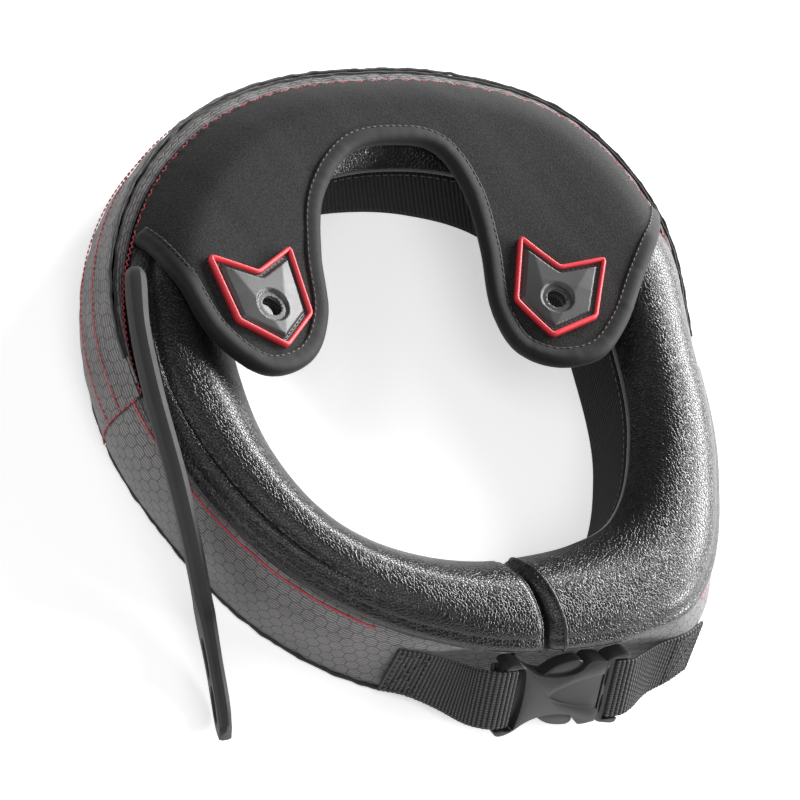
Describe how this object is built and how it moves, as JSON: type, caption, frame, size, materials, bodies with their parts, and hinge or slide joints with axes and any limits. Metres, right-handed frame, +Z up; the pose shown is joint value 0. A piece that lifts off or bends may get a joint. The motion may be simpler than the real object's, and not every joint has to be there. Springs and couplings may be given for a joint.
{
  "type": "protective neck collar",
  "caption": "Padded protective neck collar: leather-topped foam ring with a side-release buckle at the front, a neoprene flap with shield tabs and a rubber strap.",
  "frame": {"origin": "centre of the bounding box at the underside, on the floor", "axes": "+Z up, -Y the front where the buckle closes, +X the wearer's left as seen from the front, right in a plan view"},
  "size_m": [0.2346, 0.2514, 0.0531],
  "materials": {
    "leather": "grained gloss black",
    "lining": "ribbed matte black",
    "ripstop": "woven grey with a honeycomb pattern",
    "neoprene": "matte charcoal knit over foam",
    "binding": "smooth charcoal tape",
    "red_rubber": "satin red",
    "plate_rubber": "satin dark grey",
    "strap_rubber": "matte dark grey",
    "webbing": "ribbed black weave",
    "plastic": "satin dark grey"
  },
  "bodies": {
    "root": {"padded_ring": "leather", "neck_lining": "lining", "front_panel_left": "ripstop", "front_panel_right": "ripstop", "side_panel_back": "ripstop", "upper_band_back": "ripstop", "neoprene_flap": "neoprene", "flap_binding": "binding", "shield_rim_left": "red_rubber", "shield_plate_left": "plate_rubber", "shield_rim_right": "red_rubber", "shield_plate_right": "plate_rubber", "rubber_strap": "strap_rubber", "webbing_left": "webbing", "webbing_right": "webbing", "buckle_socket": "plastic", "buckle_plug": "plastic"}
  },
  "joints": []
}
